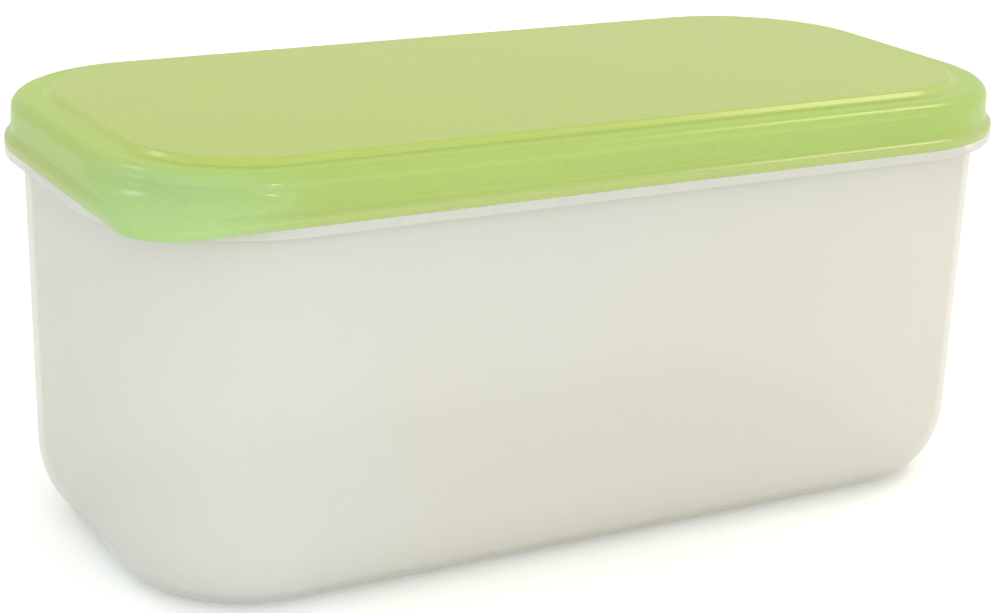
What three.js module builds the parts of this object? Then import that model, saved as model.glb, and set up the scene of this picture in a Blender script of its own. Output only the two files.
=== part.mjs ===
// Rectangular plastic food container with a press-on lid, shut and empty.
// Millimetres, +Z up. The long side runs along X and the base stands on Z = 0.
import * as THREE from 'three';

// Overall sizes. The lip is the widest ring of the lid, and the flange under it is as wide.
const HALF_LENGTH = 116;
const HALF_WIDTH = 57.8;
const CORNER = 38;
const LIP_BOTTOM_Z = 88.8;
const LEDGE_Z = 99.6;
const FIT_GAP = 0.3;

// Lid, seen from the lip upwards. Every inset is measured inwards from the lip.
const LID_WALL = 1.5;
const LIP_HEIGHT = 1.7;
const LIP_CHAMFER = 0.3;
const FLARE_HEIGHT = 1.1;
const SKIRT_INSET = 1.45;
const SKIRT_TOP_INSET = 1.65;
const SKIRT_EDGE_Z = 96.4;
const TOP_EDGE_RADIUS = 3;

// The pull tab is a tighter corner of the lip at -X, -Y. The skirt above it sweeps back to the
// radius of the other corners, starting with this share of the tab's reach.
const TAB_CORNER = 12;
const TAB_FLARE = 0.85;

// The raised panel in the middle of the lid.
const PANEL_INSET = 9.4;
const PANEL_RISE = 1.2;
const PANEL_SLOPE = 1.5;
const PANEL_BLEND = 0.5;
const PANEL_BLEND_RISE = 0.15;

// Tub, seen from the rim downwards.
const TUB_WALL = 1.3;
const RIM_INSET = 4.15;
const DRAFT = 1.4;
const FLANGE_THICKNESS = 2.1;
const FLANGE_EDGE_RADIUS = 0.6;
const FOOT_HEIGHT = 18.5;
const FOOT_INSET = 12.7;
const FLOOR_THICKNESS = 1.5;

// Points along each quarter circle.
const CORNER_STEPS = 12;
const FOOT_STEPS = 8;
const SKIRT_STEPS = 4;
const EDGE_STEPS = 4;

// A ring is a rounded rectangle at one height, inside the lip's outline by an inset. All rings
// have the same number of points, in the same order, so that two of them can be joined by quads.
function ring(inset, z, tabCorner = CORNER) {
  const signs = [[1, 1], [-1, 1], [-1, -1], [1, -1]];
  const points = [];
  signs.forEach(([signX, signY], quarter) => {
    const isTab = signX < 0 && signY < 0;
    const corner = isTab ? tabCorner : CORNER;
    for (let step = 0; step <= CORNER_STEPS; step++) {
      const angle = (quarter + step / CORNER_STEPS) * Math.PI / 2;
      const x = signX * (HALF_LENGTH - corner) + (corner - inset) * Math.cos(angle);
      const y = signY * (HALF_WIDTH - corner) + (corner - inset) * Math.sin(angle);
      points.push(new THREE.Vector3(x, y, z));
    }
  });
  return points;
}

// A ring of the lip, with the pull tab's corner.
function tabRing(inset, z) {
  return ring(inset, z, TAB_CORNER);
}

// Closes a stack of rings into one solid, with a fan of triangles over the first and last ring.
// The first ring is on the underside, so that every triangle faces out.
function loft(rings) {
  const count = rings[0].length;
  const points = rings.flat();
  const index = [];
  for (let row = 0; row < rings.length - 1; row++) {
    for (let i = 0; i < count; i++) {
      const next = (i + 1) % count;
      const a = row * count + i;
      const b = row * count + next;
      const c = a + count;
      const d = b + count;
      index.push(a, b, d);
      index.push(a, d, c);
    }
  }
  const first = points.length;
  points.push(new THREE.Vector3(0, 0, rings[0][0].z));
  const last = points.length;
  points.push(new THREE.Vector3(0, 0, rings[rings.length - 1][0].z));
  const lastRow = (rings.length - 1) * count;
  for (let i = 0; i < count; i++) {
    const next = (i + 1) % count;
    index.push(first, next, i);
    index.push(last, lastRow + i, lastRow + next);
  }
  const geometry = new THREE.BufferGeometry().setFromPoints(points);
  geometry.setIndex(index);
  geometry.computeVertexNormals();
  return geometry;
}

// Rings up a quarter ellipse, from flat at the bottom to upright at the top.
function footRings(bottomZ, reach, height, insetAt) {
  const rings = [];
  for (let step = 0; step <= FOOT_STEPS; step++) {
    const angle = step / FOOT_STEPS * Math.PI / 2;
    const inwards = reach * (1 - Math.sin(angle));
    const z = bottomZ + height * (1 - Math.cos(angle));
    rings.push(ring(insetAt(z) + inwards, z));
  }
  return rings;
}

// Tub: outside up to the flange, round the flange, up to the rim, over it and down the inside.
// The wall leans in towards the base by the draft.
const FLANGE_TOP_Z = LIP_BOTTOM_Z - FIT_GAP;
const FLANGE_BOTTOM_Z = FLANGE_TOP_Z - FLANGE_THICKNESS;
const RIM_Z = LEDGE_Z - LID_WALL - FIT_GAP;

function outsideAt(z) {
  return RIM_INSET + DRAFT * (FLANGE_BOTTOM_Z - z) / FLANGE_BOTTOM_Z;
}

function insideAt(z) {
  return outsideAt(z) + TUB_WALL;
}

const flangeRings = [];
for (let step = 0; step <= EDGE_STEPS; step++) {
  const angle = step / EDGE_STEPS * Math.PI / 2;
  const inset = FLANGE_EDGE_RADIUS * (1 - Math.sin(angle));
  const z = FLANGE_BOTTOM_Z + FLANGE_EDGE_RADIUS * (1 - Math.cos(angle));
  flangeRings.push(ring(inset, z));
}

const outsideFoot = footRings(0, FOOT_INSET, FOOT_HEIGHT, outsideAt);
const insideReach = FOOT_INSET - TUB_WALL;
const insideHeight = FOOT_HEIGHT - FLOOR_THICKNESS;
const insideFoot = footRings(FLOOR_THICKNESS, insideReach, insideHeight, insideAt);

const tub = new THREE.Mesh(
  loft([
    ...outsideFoot,
    ring(RIM_INSET, FLANGE_BOTTOM_Z),
    ...flangeRings,
    ring(0, FLANGE_TOP_Z),
    ring(RIM_INSET, FLANGE_TOP_Z),
    ring(RIM_INSET, RIM_Z),
    ring(RIM_INSET + TUB_WALL, RIM_Z),
    ring(RIM_INSET + TUB_WALL, FLANGE_BOTTOM_Z),
    ...insideFoot.reverse(),
  ]),
  new THREE.MeshStandardMaterial({ color: '#dad9cf', roughness: 0.4, metalness: 0 }),
);
tub.name = 'tub';

// Lid: the underside first, from the middle out and down inside the skirt, then round the lip,
// up the skirt, over the top edge, across the ledge and onto the raised panel.
const LIP_TOP_Z = LIP_BOTTOM_Z + LIP_HEIGHT;
const SKIRT_BOTTOM_Z = LIP_TOP_Z + FLARE_HEIGHT;
const LEDGE_UNDER_Z = LEDGE_Z - LID_WALL;
const PANEL_Z = LEDGE_Z + PANEL_RISE;
const SKIRT_INSIDE = SKIRT_TOP_INSET + LID_WALL;

const topEdgeRings = [];
for (let step = 0; step <= EDGE_STEPS; step++) {
  const angle = step / EDGE_STEPS * Math.PI / 2;
  const inset = SKIRT_TOP_INSET + TOP_EDGE_RADIUS * (1 - Math.cos(angle));
  const z = LEDGE_Z - TOP_EDGE_RADIUS * (1 - Math.sin(angle));
  topEdgeRings.push(ring(inset, z));
}

const skirtRings = [];
for (let step = 0; step < SKIRT_STEPS; step++) {
  const rise = step / SKIRT_STEPS;
  const inset = SKIRT_INSET + (SKIRT_TOP_INSET - SKIRT_INSET) * rise;
  const z = SKIRT_BOTTOM_Z + (SKIRT_EDGE_Z - SKIRT_BOTTOM_Z) * rise;
  const share = TAB_FLARE * (1 - rise) ** 2;
  skirtRings.push(ring(inset, z, CORNER - (CORNER - TAB_CORNER) * share));
}

const lid = new THREE.Mesh(
  loft([
    ring(PANEL_INSET + PANEL_SLOPE, PANEL_Z - LID_WALL),
    ring(PANEL_INSET, LEDGE_UNDER_Z),
    ring(SKIRT_INSIDE + FIT_GAP, LEDGE_UNDER_Z),
    ring(SKIRT_INSIDE, LEDGE_UNDER_Z - FIT_GAP),
    ring(SKIRT_INSET + LID_WALL, SKIRT_BOTTOM_Z),
    ring(LID_WALL, LIP_TOP_Z),
    ring(LID_WALL, LIP_BOTTOM_Z),
    tabRing(LIP_CHAMFER, LIP_BOTTOM_Z),
    tabRing(0, LIP_BOTTOM_Z + LIP_CHAMFER),
    tabRing(0, LIP_TOP_Z - LIP_CHAMFER),
    tabRing(LIP_CHAMFER, LIP_TOP_Z),
    ...skirtRings,
    ...topEdgeRings,
    ring(PANEL_INSET - PANEL_BLEND, LEDGE_Z),
    ring(PANEL_INSET, LEDGE_Z + PANEL_BLEND_RISE),
    ring(PANEL_INSET + PANEL_SLOPE - PANEL_BLEND, PANEL_Z - PANEL_BLEND_RISE),
    ring(PANEL_INSET + PANEL_SLOPE, PANEL_Z),
  ]),
  new THREE.MeshStandardMaterial({ color: '#c1d389', roughness: 0.4, metalness: 0 }),
);
lid.name = 'lid';

const container = new THREE.Group();
container.add(tub);
container.add(lid);

export default container;
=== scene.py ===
import math

import bmesh
import bpy
from mathutils import Matrix, Vector


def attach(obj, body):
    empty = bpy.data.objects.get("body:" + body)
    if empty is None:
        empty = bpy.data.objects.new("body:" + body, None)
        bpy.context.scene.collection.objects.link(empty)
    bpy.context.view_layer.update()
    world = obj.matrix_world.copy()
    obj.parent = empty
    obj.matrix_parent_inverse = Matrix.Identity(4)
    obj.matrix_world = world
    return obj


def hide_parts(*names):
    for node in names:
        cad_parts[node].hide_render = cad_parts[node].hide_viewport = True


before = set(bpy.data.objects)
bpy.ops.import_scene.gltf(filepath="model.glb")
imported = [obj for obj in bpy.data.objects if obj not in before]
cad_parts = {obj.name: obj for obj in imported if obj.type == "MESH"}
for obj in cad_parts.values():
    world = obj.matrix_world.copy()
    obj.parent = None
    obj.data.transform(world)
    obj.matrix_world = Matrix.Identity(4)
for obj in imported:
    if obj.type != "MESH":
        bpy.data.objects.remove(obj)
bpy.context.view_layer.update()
MM = 0.001


# The camera
# A short telephoto lens that looks down a little on the box, past its front left corner, and is
# held with a slight tilt to the side.
CAMERA_AIM = Vector((-3.0, -0.4, 44.5)) * MM
CAMERA_DISTANCE = 556.8 * MM
CAMERA_AZIMUTH = math.radians(-29.59)
CAMERA_ELEVATION = math.radians(18.27)
CAMERA_ROLL = math.radians(1.85)
CAMERA_LENS_MM = 82.97

backward = Vector((
    math.sin(CAMERA_AZIMUTH) * math.cos(CAMERA_ELEVATION),
    -math.cos(CAMERA_AZIMUTH) * math.cos(CAMERA_ELEVATION),
    math.sin(CAMERA_ELEVATION),
))
level_right = Vector((math.cos(CAMERA_AZIMUTH), math.sin(CAMERA_AZIMUTH), 0))
level_up = backward.cross(level_right)
right = level_right * math.cos(CAMERA_ROLL) + level_up * math.sin(CAMERA_ROLL)
up = backward.cross(right)
camera = bpy.data.objects.new("camera", bpy.data.cameras.new("camera"))
camera.data.lens = CAMERA_LENS_MM
camera.data.sensor_width = 36
camera.matrix_world = Matrix.Translation(CAMERA_AIM + backward * CAMERA_DISTANCE) @ Matrix((
    (right.x, up.x, backward.x),
    (right.y, up.y, backward.y),
    (right.z, up.z, backward.z),
)).to_4x4()
bpy.context.scene.collection.objects.link(camera)
bpy.context.scene.camera = camera


# Studio
# A plain white table and white walls all round, which give most of the light. The lamps only shape
# it: a warm one at the right, cool ones at the left and two wide weak ones in front.
def from_hex(text):
    """The linear colour of an sRGB hex value such as #dad9cf."""
    parts = [int(text[i:i + 2], 16) / 255 for i in (1, 3, 5)]
    return [c / 12.92 if c <= 0.04045 else ((c + 0.055) / 1.055) ** 2.4 for c in parts] + [1]


def add_node(tree, kind, inputs=None, **settings):
    """Adds a node. An input is a value, or the output socket that it is linked to."""
    node = tree.nodes.new(kind)
    for name, value in settings.items():
        setattr(node, name, value)
    for name, value in (inputs or {}).items():
        if isinstance(value, bpy.types.NodeSocket):
            tree.links.new(value, node.inputs[name])
        else:
            node.inputs[name].default_value = value
    return node


def new_material(name):
    """An empty material, and its node tree with only the output node in it."""
    material = bpy.data.materials.new(name)
    material.use_nodes = True
    tree = material.node_tree
    tree.nodes.clear()
    return material, tree, tree.nodes.new("ShaderNodeOutputMaterial")


def add_lamp(name, place, aim, size, watts, colour="#ffffff"):
    """A flat rectangular lamp, in metres, that shines from its place towards the aim."""
    lamp = bpy.data.lights.new(name, "AREA")
    lamp.shape = "RECTANGLE"
    lamp.size, lamp.size_y = size
    lamp.energy = watts
    lamp.color = from_hex(colour)[:3]
    stand = bpy.data.objects.new(name, lamp)
    stand.location = place
    stand.rotation_euler = (Vector(aim) - Vector(place)).to_track_quat("-Z", "Y").to_euler()
    bpy.context.scene.collection.objects.link(stand)


WALL_COLOUR = "#fffcf2"
WALL_STRENGTH = 1.2
TABLE_COLOUR = "#f5f7fa"
TABLE_HALF = 3.0

bpy.context.scene.view_settings.view_transform = "Standard"
world = bpy.data.worlds.new("white studio walls")
world.use_nodes = True
walls = world.node_tree.nodes["Background"]
walls.inputs["Color"].default_value = from_hex(WALL_COLOUR)
walls.inputs["Strength"].default_value = WALL_STRENGTH
bpy.context.scene.world = world

table_mesh = bpy.data.meshes.new("table")
table_mesh.from_pydata(
    [(x * TABLE_HALF, y * TABLE_HALF, 0) for x, y in ((-1, -1), (1, -1), (1, 1), (-1, 1))],
    [],
    [(0, 1, 2, 3)],
)
table = bpy.data.objects.new("table", table_mesh)
# White melamine laminate, pressed against a fine matt plate, so that it shines only weakly.
table_white, tree, output = new_material("white laminate table")
surface = add_node(tree, "ShaderNodeBsdfPrincipled", {
    "Base Color": from_hex(TABLE_COLOUR),
    "Roughness": 0.8,
    "Specular IOR Level": 0.2,
})
tree.links.new(surface.outputs["BSDF"], output.inputs["Surface"])
table_mesh.materials.append(table_white)
bpy.context.scene.collection.objects.link(table)

# The warm lamp's reflection runs along the right half of the lid's front edges, and the small lamp
# in front puts short bright spots on its near corner. The wide lamps light the walls of the tub.
add_lamp("warm lamp right", (0.88, -0.06, 1.08), (0.05, -0.05, 0.1), (0.4, 0.32), 4.1, "#fff0d2")
add_lamp("cool lamp behind left", (-0.60, 0.62, 1.10), (-0.1, 0, 0.1), (0.3, 0.2), 1.6, "#e4f2ff")
add_lamp("cool lamp left", (-1.37, 0.12, 0.42), (-0.1, 0, 0.1), (0.16, 0.1), 0.9, "#e4f2ff")
add_lamp("small lamp in front", (-0.12, -1.16, 0.54), (-0.09, -0.05, 0.1), (0.05, 0.03), 1.5)
add_lamp("wide lamp in front", (0.5, -2.2, 0.45), (0, 0, 0.05), (2.6, 1.0), 13, "#fffaf2")
add_lamp("wide cool lamp left", (-1.8, -1.0, 0.8), (-0.1, 0, 0.05), (1.2, 1.0), 6, "#d4eaff")


# Tub
# One piece of milky natural polypropylene, injection moulded: a thin wall with large rounded
# corners that leans in a little to the foot, a flange that the lid's lip sits on, and a rim above
# the flange that stands inside the lid.
BOX_LENGTH = 232 * MM
BOX_WIDTH = 115.6 * MM
BOX_CORNER = 38 * MM
CORNER_STEPS = 40
RIM_INSET = 4.15 * MM
RIM_TOP = 97.8 * MM
TUB_WALL = 1.3 * MM
TUB_FLOOR = 1.5 * MM
TUB_DRAFT = 1.4 * MM
FLANGE_BOTTOM = 86.4 * MM
FLANGE_TOP = 88.75 * MM
FOOT_HEIGHT = 18.5 * MM
FOOT_REACH = 12.7 * MM
FOOT_STEPS = 20
EDGE_STEPS = 6
HOLD = 0.25 * MM
CORNER_MARGIN = 0.01 * MM
TINT_PATCH = 120 * MM
FLOW_LINE = 2.5 * MM
FLOW_STRETCH = 0.04
TUB_GRAIN = 0.45 * MM
TUB_GLOW = 0.4
NOISE_LOW = 0.3   # most of a noise pattern's values lie between these two
NOISE_HIGH = 0.7
TUB_COOL = "#e8e9e9"
TUB_WARM = "#eae8e4"


def make_sweep_tree():
    """Geometry nodes that carry a profile round a rounded rectangle. The profile's X is how far
    it stands out from the rectangle and its Y is its height. Where its tab attribute is 1, the
    corner at -X, -Y is pulled out by the tab's reach, which gives it a smaller radius."""
    tree = bpy.data.node_groups.new("profile round a rounded box", "GeometryNodeTree")
    sockets = (
        ("Profile", "NodeSocketGeometry"),
        ("Length", "NodeSocketFloat"),
        ("Width", "NodeSocketFloat"),
        ("Corner Radius", "NodeSocketFloat"),
        ("Corner Steps", "NodeSocketInt"),
        ("Tab Reach", "NodeSocketFloat"),
        ("Material", "NodeSocketMaterial"),
    )
    for name, kind in sockets:
        tree.interface.new_socket(name, in_out="INPUT", socket_type=kind)
    tree.interface.new_socket("Mesh", in_out="OUTPUT", socket_type="NodeSocketGeometry")
    given = add_node(tree, "NodeGroupInput").outputs

    box = add_node(tree, "GeometryNodeCurvePrimitiveQuadrilateral", {
        "Width": given["Length"],
        "Height": given["Width"],
    })
    path = add_node(tree, "GeometryNodeFilletCurve", {
        "Curve": box.outputs["Curve"],
        "Count": given["Corner Steps"],
        "Radius": given["Corner Radius"],
    }, mode="POLY")
    line = add_node(tree, "GeometryNodeMeshToCurve", {"Mesh": given["Profile"]})
    swept = add_node(tree, "GeometryNodeCurveToMesh", {
        "Curve": path.outputs["Curve"],
        "Profile Curve": line.outputs["Curve"],
    })

    # The middle of the arc at -X, -Y, and each point's way out from it.
    corner = add_node(tree, "ShaderNodeCombineXYZ", {
        "X": add_node(tree, "ShaderNodeMath", {
            0: given["Corner Radius"],
            1: add_node(tree, "ShaderNodeMath", {0: given["Length"], 1: 0.5},
                        operation="MULTIPLY").outputs[0],
        }, operation="SUBTRACT").outputs[0],
        "Y": add_node(tree, "ShaderNodeMath", {
            0: given["Corner Radius"],
            1: add_node(tree, "ShaderNodeMath", {0: given["Width"], 1: 0.5},
                        operation="MULTIPLY").outputs[0],
        }, operation="SUBTRACT").outputs[0],
    })
    flat_place = add_node(tree, "ShaderNodeVectorMath", {
        0: add_node(tree, "GeometryNodeInputPosition").outputs[0],
        1: (1, 1, 0),
    }, operation="MULTIPLY")
    from_corner = add_node(tree, "ShaderNodeVectorMath", {
        0: flat_place.outputs[0],
        1: corner.outputs[0],
    }, operation="SUBTRACT")
    parts = add_node(tree, "ShaderNodeSeparateXYZ", {0: from_corner.outputs[0]})
    outermost = add_node(tree, "ShaderNodeMath", {
        0: parts.outputs["X"],
        1: parts.outputs["Y"],
    }, operation="MAXIMUM")
    in_corner = add_node(tree, "ShaderNodeMath", {
        0: outermost.outputs[0],
        1: CORNER_MARGIN,
    }, operation="LESS_THAN")
    way_out = add_node(tree, "ShaderNodeVectorMath", {0: from_corner.outputs[0]}, operation="NORMALIZE")
    pull = add_node(tree, "ShaderNodeVectorMath", {
        0: (-1, -1, 0),
        1: way_out.outputs[0],
    }, operation="SUBTRACT")
    is_tab = add_node(tree, "GeometryNodeInputNamedAttribute", {"Name": "tab"}, data_type="FLOAT")
    reach = add_node(tree, "ShaderNodeMath", {
        0: given["Tab Reach"],
        1: is_tab.outputs["Attribute"],
    }, operation="MULTIPLY")
    move = add_node(tree, "ShaderNodeVectorMath", {
        0: pull.outputs[0],
        "Scale": reach.outputs[0],
    }, operation="SCALE")
    pulled = add_node(tree, "GeometryNodeSetPosition", {
        "Geometry": swept.outputs["Mesh"],
        "Selection": in_corner.outputs[0],
        "Offset": move.outputs[0],
    })

    smooth = add_node(tree, "GeometryNodeSetShadeSmooth", {"Geometry": pulled.outputs["Geometry"]})
    real = add_node(tree, "GeometryNodeRealizeInstances", {"Geometry": smooth.outputs["Geometry"]})
    coated = add_node(tree, "GeometryNodeSetMaterial", {
        "Geometry": real.outputs["Geometry"],
        "Material": given["Material"],
    })
    add_node(tree, "NodeGroupOutput", {"Mesh": coated.outputs["Geometry"]})
    return tree


def rounded_line(corners):
    """A line through corners, each (x, z, radius, tab), with an arc in place of each corner that
    has a radius. A point just before and just after each arc keeps the flats between them flat."""
    points = []
    for index, (x, z, radius, tab) in enumerate(corners):
        here = Vector((x, z))
        if radius == 0 or index in (0, len(corners) - 1):
            points.append((x, z, tab))
            continue
        back = (Vector(corners[index - 1][:2]) - here).normalized()
        ahead = (Vector(corners[index + 1][:2]) - here).normalized()
        half_angle = back.angle(ahead) / 2
        run = radius / math.tan(half_angle)
        centre = here + (back + ahead).normalized() * radius / math.sin(half_angle)
        start = here + back * run - centre
        turn = start.angle_signed(here + ahead * run - centre)
        points.append((*(here + back * (run + HOLD)), tab))
        for step in range(EDGE_STEPS + 1):
            spoke = start.copy()
            spoke.rotate(Matrix.Rotation(-turn * step / EDGE_STEPS, 2))
            points.append((*(centre + spoke), tab))
        points.append((*(here + ahead * (run + HOLD)), tab))
    return points


def foot_line(outer, floor, reach, height):
    """The elliptical foot edge from the floor up to the wall, with one point on the flat floor."""
    points = [(outer - reach - HOLD, floor, 0)]
    for step in range(FOOT_STEPS + 1):
        angle = math.pi / 2 * step / FOOT_STEPS
        x = outer - reach * (1 - math.sin(angle))
        points.append((x, floor + height * (1 - math.cos(angle)), 0))
    return points


def sweep(name, line, tab_reach, material):
    """Carries a line of (x, z, tab) points round the box and closes its two flat ends."""
    profile = bpy.data.meshes.new(name)
    profile.from_pydata([(x, -z, 0) for x, z, tab in line], [(i, i + 1) for i in range(len(line) - 1)], [])
    insets = [-x for x, z, tab in line]
    profile.attributes.new("inset", "FLOAT", "POINT").data.foreach_set("value", insets)
    profile.attributes.new("tab", "FLOAT", "POINT").data.foreach_set("value", [tab for x, z, tab in line])
    holder = bpy.data.objects.new(name, profile)
    bpy.context.scene.collection.objects.link(holder)
    modifier = holder.modifiers.new("sweep", "NODES")
    modifier.node_group = sweep_tree
    sizes = {
        "Length": BOX_LENGTH,
        "Width": BOX_WIDTH,
        "Corner Radius": BOX_CORNER,
        "Corner Steps": CORNER_STEPS,
        "Tab Reach": tab_reach,
        "Material": material,
    }
    for socket in sweep_tree.interface.items_tree:
        if socket.name in sizes:
            modifier[socket.identifier] = sizes[socket.name]
    evaluated = holder.evaluated_get(bpy.context.evaluated_depsgraph_get())
    mesh = bpy.data.meshes.new_from_object(evaluated)
    bpy.data.objects.remove(holder)

    shell = bmesh.new()
    shell.from_mesh(mesh)
    bmesh.ops.holes_fill(shell, edges=[edge for edge in shell.edges if edge.is_boundary])
    bmesh.ops.recalc_face_normals(shell, faces=shell.faces)
    shell.to_mesh(mesh)
    shell.free()
    mesh.attributes.remove(mesh.attributes["tab"])
    mesh.name = name
    piece = bpy.data.objects.new(name, mesh)
    bpy.context.scene.collection.objects.link(piece)
    return piece


# The foot leans in by the draft at the bottom and by less at the top of the foot edge.
foot_draft = TUB_DRAFT * (FLANGE_BOTTOM - FOOT_HEIGHT) / FLANGE_BOTTOM
outer_foot = foot_line(-RIM_INSET - foot_draft, 0, FOOT_REACH, FOOT_HEIGHT)
inner_foot = foot_line(
    -RIM_INSET - foot_draft - TUB_WALL, TUB_FLOOR, FOOT_REACH - TUB_WALL, FOOT_HEIGHT - TUB_FLOOR,
)
flange_and_rim = rounded_line([
    (-RIM_INSET - foot_draft, FOOT_HEIGHT, 0, 0),
    (-RIM_INSET, FLANGE_BOTTOM, 2.9 * MM, 0),
    (0, FLANGE_BOTTOM, 0.6 * MM, 0),
    (0, FLANGE_TOP, 0.1 * MM, 0),
    (-RIM_INSET, FLANGE_TOP, 0.3 * MM, 0),
    (-RIM_INSET, RIM_TOP, 0.5 * MM, 0),
    (-RIM_INSET - TUB_WALL, RIM_TOP, 0.5 * MM, 0),
    (-RIM_INSET - TUB_WALL, FLANGE_BOTTOM, 0, 0),
    (-RIM_INSET - foot_draft - TUB_WALL, FOOT_HEIGHT, 0, 0),
])
tub_line = outer_foot + flange_and_rim[1:-1] + inner_foot[::-1]

sweep_tree = make_sweep_tree()
# Natural polypropylene, uncoloured, moulded in a polished steel mould. It is milky because it is
# partly crystalline, so that some light passes through the wall and nothing behind it is sharp. The
# sheen is satin, and faint upright lines show where the melt flowed up the wall. The tint drifts
# from cool to warm over the wall. The fine grain, which is under 0.1 mm on the real wall, is drawn
# at 0.45 mm so that the picture can show it.
polypropylene, tree, output = new_material("milky moulded polypropylene")
place = add_node(tree, "ShaderNodeTexCoord").outputs["Object"]
cloud = add_node(tree, "ShaderNodeTexNoise", {"Vector": place, "Scale": 1 / TINT_PATCH, "Detail": 2})
flow_place = add_node(tree, "ShaderNodeMapping", {"Vector": place, "Scale": (1, 1, FLOW_STRETCH)})
flow = add_node(tree, "ShaderNodeTexNoise", {
    "Vector": flow_place.outputs[0],
    "Scale": 1 / FLOW_LINE,
    "Detail": 2,
})
grain = add_node(tree, "ShaderNodeTexNoise", {"Vector": place, "Scale": 1 / TUB_GRAIN, "Detail": 2})
tint = add_node(tree, "ShaderNodeMapRange", {
    "Value": cloud.outputs["Fac"],
    "From Min": NOISE_LOW,
    "From Max": NOISE_HIGH,
})
colour = add_node(tree, "ShaderNodeMix", {
    0: tint.outputs["Result"],
    6: from_hex(TUB_COOL),
    7: from_hex(TUB_WARM),
}, data_type="RGBA")
roughness = add_node(tree, "ShaderNodeMapRange", {
    "Value": flow.outputs["Fac"],
    "From Min": NOISE_LOW,
    "From Max": NOISE_HIGH,
    "To Min": 0.34,
    "To Max": 0.44,
})
flow_relief = add_node(tree, "ShaderNodeBump", {
    "Height": flow.outputs["Fac"],
    "Strength": 0.5,
    "Distance": 0.02 * MM,
})
relief = add_node(tree, "ShaderNodeBump", {
    "Height": grain.outputs["Fac"],
    "Strength": 0.5,
    "Distance": 0.008 * MM,
    "Normal": flow_relief.outputs["Normal"],
})
surface = add_node(tree, "ShaderNodeBsdfPrincipled", {
    "Base Color": colour.outputs[2],
    "Roughness": roughness.outputs["Result"],
    "IOR": 1.49,
    "Specular IOR Level": 0.3,
    "Alpha": 0.5,
    "Normal": relief.outputs["Normal"],
})
glow = add_node(tree, "ShaderNodeBsdfTranslucent", {
    "Color": colour.outputs[2],
    "Normal": relief.outputs["Normal"],
})
milky = add_node(tree, "ShaderNodeMixShader", {
    0: TUB_GLOW,
    1: surface.outputs["BSDF"],
    2: glow.outputs["BSDF"],
})
tree.links.new(milky.outputs["Shader"], output.inputs["Surface"])

tub = sweep("milky_tub", tub_line, 0, polypropylene)
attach(tub, "root")
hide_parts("tub")


# Lid
# One piece of translucent lime green polyethylene, pressed down over the rim: a skirt with a
# thicker lip along its foot, a pull tab at one corner, a rounded top edge, a narrow ledge over
# the rim and a raised panel in the middle.
LIP_BOTTOM = 88.8 * MM
LIP_TOP = 90.5 * MM
SKIRT_BOTTOM = 91.6 * MM
SKIRT_INSET = 1.45 * MM
SKIRT_TOP_INSET = 1.65 * MM
LEDGE_TOP = 99.6 * MM
PANEL_INSET = 9.4 * MM
PANEL_SLOPE = 1.5 * MM
PANEL_TOP = 100.8 * MM
LID_WALL = 1.5 * MM
TAB_REACH = 26 * MM
TAB_FLARE = 0.85
SKIRT_EDGE = 96.4 * MM
SKIRT_STEPS = 6
FLAT_RING = 1 * MM
TINT_CLOUD = 25 * MM
LID_GRAIN = 0.9 * MM
LID_GLOW = 0.3
# Where the painted sheen and light on the tab corner starts and ends fading out.
TAB_SHEEN_START = 15 * MM
TAB_SHEEN_END = 45 * MM
LIME_LIP = "#afc078"
LIME_SKIRT = "#a9c16c"
# Paler and bluer than the skirt: painted sheen and light on the tab corner, which also lifts the shade
# there.
TAB_LIME_AND_SHEEN = "#a9c886"
LIME_LEDGE = "#a7c452"
# Paler than the ledge: painted sheen on the slope, on top of its lime colour.
SLOPE_LIME_AND_SHEEN = "#b3c66e"
# Paler than the ledge: painted sheen on the panel, on top of its lime colour.
PANEL_LIME_AND_SHEEN = "#aec15c"

# Above the tab the skirt sweeps back in an even curve to the rounded corner of the top edge.
skirt = []
for step in range(SKIRT_STEPS):
    rise = step / SKIRT_STEPS
    skirt.append((
        -SKIRT_INSET - (SKIRT_TOP_INSET - SKIRT_INSET) * rise,
        SKIRT_BOTTOM + (SKIRT_EDGE - SKIRT_BOTTOM) * rise,
        0,
        TAB_FLARE * (1 - rise) ** 2,
    ))

lid_line = rounded_line([
    (-PANEL_INSET - PANEL_SLOPE - FLAT_RING, PANEL_TOP - LID_WALL, 0, 0),
    (-PANEL_INSET - PANEL_SLOPE, PANEL_TOP - LID_WALL, 0.5 * MM, 0),
    (-PANEL_INSET, LEDGE_TOP - LID_WALL, 0.5 * MM, 0),
    (-SKIRT_TOP_INSET - LID_WALL, LEDGE_TOP - LID_WALL, 0.3 * MM, 0),
    (-SKIRT_INSET - LID_WALL, SKIRT_BOTTOM, 0.3 * MM, 0),
    (-LID_WALL, LIP_TOP, 0.3 * MM, 0),
    (-LID_WALL, LIP_BOTTOM, 0.2 * MM, 0),
    (0, LIP_BOTTOM, 0.15 * MM, 1),
    (0, LIP_TOP, 1 * MM, 1),
    *skirt,
    (-SKIRT_TOP_INSET, LEDGE_TOP, 3 * MM, 0),
    (-PANEL_INSET, LEDGE_TOP, 1.6 * MM, 0),
    (-PANEL_INSET - PANEL_SLOPE, PANEL_TOP, 1.4 * MM, 0),
    (-PANEL_INSET - PANEL_SLOPE - FLAT_RING, PANEL_TOP, 0, 0),
])
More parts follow.
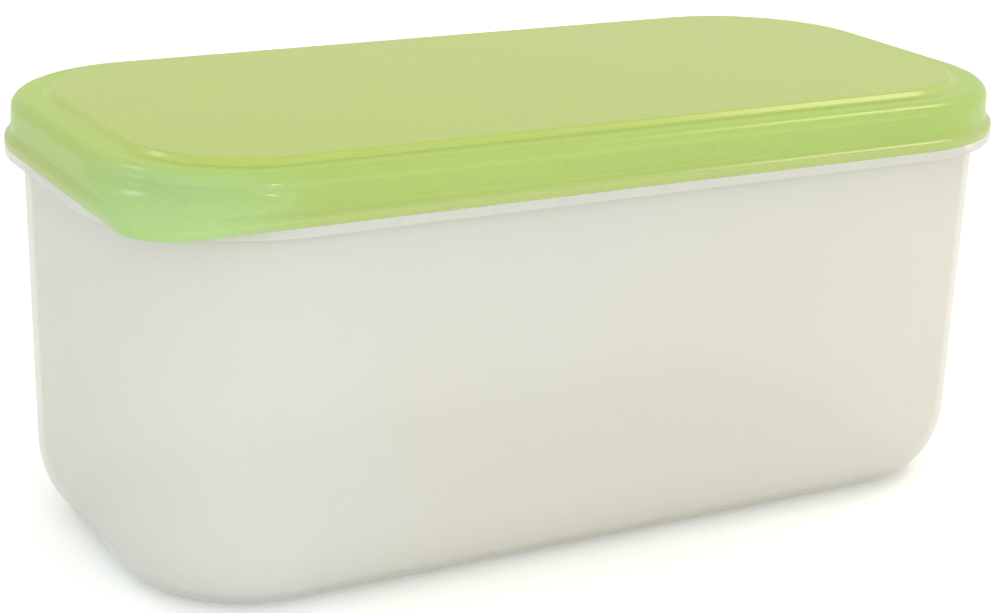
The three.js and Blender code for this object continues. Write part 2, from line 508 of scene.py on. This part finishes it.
# Low-density polyethylene, tinted lime green in the melt and moulded in a polished steel mould. It
# is glossier than the tub and soft and waxy to the eye, for a little light passes through. The
# paler panel, slope and tab corner are painted sheen and light on the lime colour. The cloudy mixing
# of the tint is drawn at 25 mm, and the mould's grain, which is under 0.1 mm, at 0.9 mm so that the
# picture can show it.
polyethylene, tree, output = new_material("lime moulded polyethylene")
place = add_node(tree, "ShaderNodeTexCoord").outputs["Object"]
inset = add_node(tree, "ShaderNodeAttribute", {}, attribute_name="inset")
across = add_node(tree, "ShaderNodeMath", {
    0: inset.outputs["Fac"],
    1: PANEL_INSET + PANEL_SLOPE,
}, operation="DIVIDE")
bands = add_node(tree, "ShaderNodeValToRGB", {"Fac": across.outputs[0]})
stops = bands.color_ramp.elements
stops.remove(stops[1])
stops[0].color = from_hex(LIME_LIP)
# The paler slope and panel bands are painted sheen. The pale band starts 1.2 mm before the slope, which is
# painted light that lifts the shade in the crease at its foot.
for inset_there, band in (
    (0.3 * MM, LIME_LIP),
    (SKIRT_INSET, LIME_SKIRT),
    (SKIRT_TOP_INSET + 1 * MM, LIME_SKIRT),
    (SKIRT_TOP_INSET + 3 * MM, LIME_LEDGE),
    (PANEL_INSET - 1.2 * MM, LIME_LEDGE),
    (PANEL_INSET + 0.2 * MM, SLOPE_LIME_AND_SHEEN),
    (PANEL_INSET + PANEL_SLOPE - 0.4 * MM, SLOPE_LIME_AND_SHEEN),
    (PANEL_INSET + PANEL_SLOPE, PANEL_LIME_AND_SHEEN),
):
    stops.new(inset_there / (PANEL_INSET + PANEL_SLOPE)).color = from_hex(band)
# Painted sheen and light: towards the tab corner the skirt fades to the paler, bluer tab colour.
from_tab = add_node(tree, "ShaderNodeVectorMath", {
    0: place,
    1: (-BOX_LENGTH / 2, -BOX_WIDTH / 2, LIP_TOP),
}, operation="DISTANCE")
tab_sheen_falloff = add_node(tree, "ShaderNodeMapRange", {
    "Value": from_tab.outputs["Value"],
    "From Min": TAB_SHEEN_START,
    "From Max": TAB_SHEEN_END,
    "To Min": 1,
    "To Max": 0,
}, interpolation_type="SMOOTHSTEP")
on_skirt = add_node(tree, "ShaderNodeMapRange", {
    "Value": inset.outputs["Fac"],
    "From Min": SKIRT_TOP_INSET,
    "From Max": SKIRT_TOP_INSET + 4 * MM,
    "To Min": 1,
    "To Max": 0,
})
tab_sheen_share = add_node(tree, "ShaderNodeMath", {
    0: tab_sheen_falloff.outputs["Result"],
    1: on_skirt.outputs["Result"],
}, operation="MULTIPLY")
colour = add_node(tree, "ShaderNodeMix", {
    0: tab_sheen_share.outputs[0],
    6: bands.outputs["Color"],
    7: from_hex(TAB_LIME_AND_SHEEN),
}, data_type="RGBA")
cloud = add_node(tree, "ShaderNodeTexNoise", {"Vector": place, "Scale": 1 / TINT_CLOUD, "Detail": 3})
grain = add_node(tree, "ShaderNodeTexNoise", {"Vector": place, "Scale": 1 / LID_GRAIN, "Detail": 2})
shade = add_node(tree, "ShaderNodeMapRange", {
    "Value": cloud.outputs["Fac"],
    "From Min": NOISE_LOW,
    "From Max": NOISE_HIGH,
    "To Min": 0.98,
    "To Max": 1.01,
})
speckle = add_node(tree, "ShaderNodeMapRange", {
    "Value": grain.outputs["Fac"],
    "From Min": NOISE_LOW,
    "From Max": NOISE_HIGH,
    "To Min": 0.975,
    "To Max": 1.025,
})
mottle = add_node(tree, "ShaderNodeMath", {
    0: shade.outputs["Result"],
    1: speckle.outputs["Result"],
}, operation="MULTIPLY")
mottled = add_node(tree, "ShaderNodeVectorMath", {
    0: colour.outputs[2],
    "Scale": mottle.outputs[0],
}, operation="SCALE")
roughness = add_node(tree, "ShaderNodeMapRange", {
    "Value": cloud.outputs["Fac"],
    "From Min": NOISE_LOW,
    "From Max": NOISE_HIGH,
    "To Min": 0.18,
    "To Max": 0.23,
})
relief = add_node(tree, "ShaderNodeBump", {
    "Height": grain.outputs["Fac"],
    "Strength": 0.5,
    "Distance": 0.006 * MM,
})
surface = add_node(tree, "ShaderNodeBsdfPrincipled", {
    "Base Color": mottled.outputs[0],
    "Roughness": roughness.outputs["Result"],
    "IOR": 1.51,
    "Specular IOR Level": 0.3,
    "Normal": relief.outputs["Normal"],
})
glow = add_node(tree, "ShaderNodeBsdfTranslucent", {
    "Color": mottled.outputs[0],
    "Normal": relief.outputs["Normal"],
})
milky = add_node(tree, "ShaderNodeMixShader", {
    0: LID_GLOW,
    1: surface.outputs["BSDF"],
    2: glow.outputs["BSDF"],
})
tree.links.new(milky.outputs["Shader"], output.inputs["Surface"])

lid = sweep("lime_lid", lid_line, TAB_REACH, polyethylene)
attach(lid, "root")
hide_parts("lid")
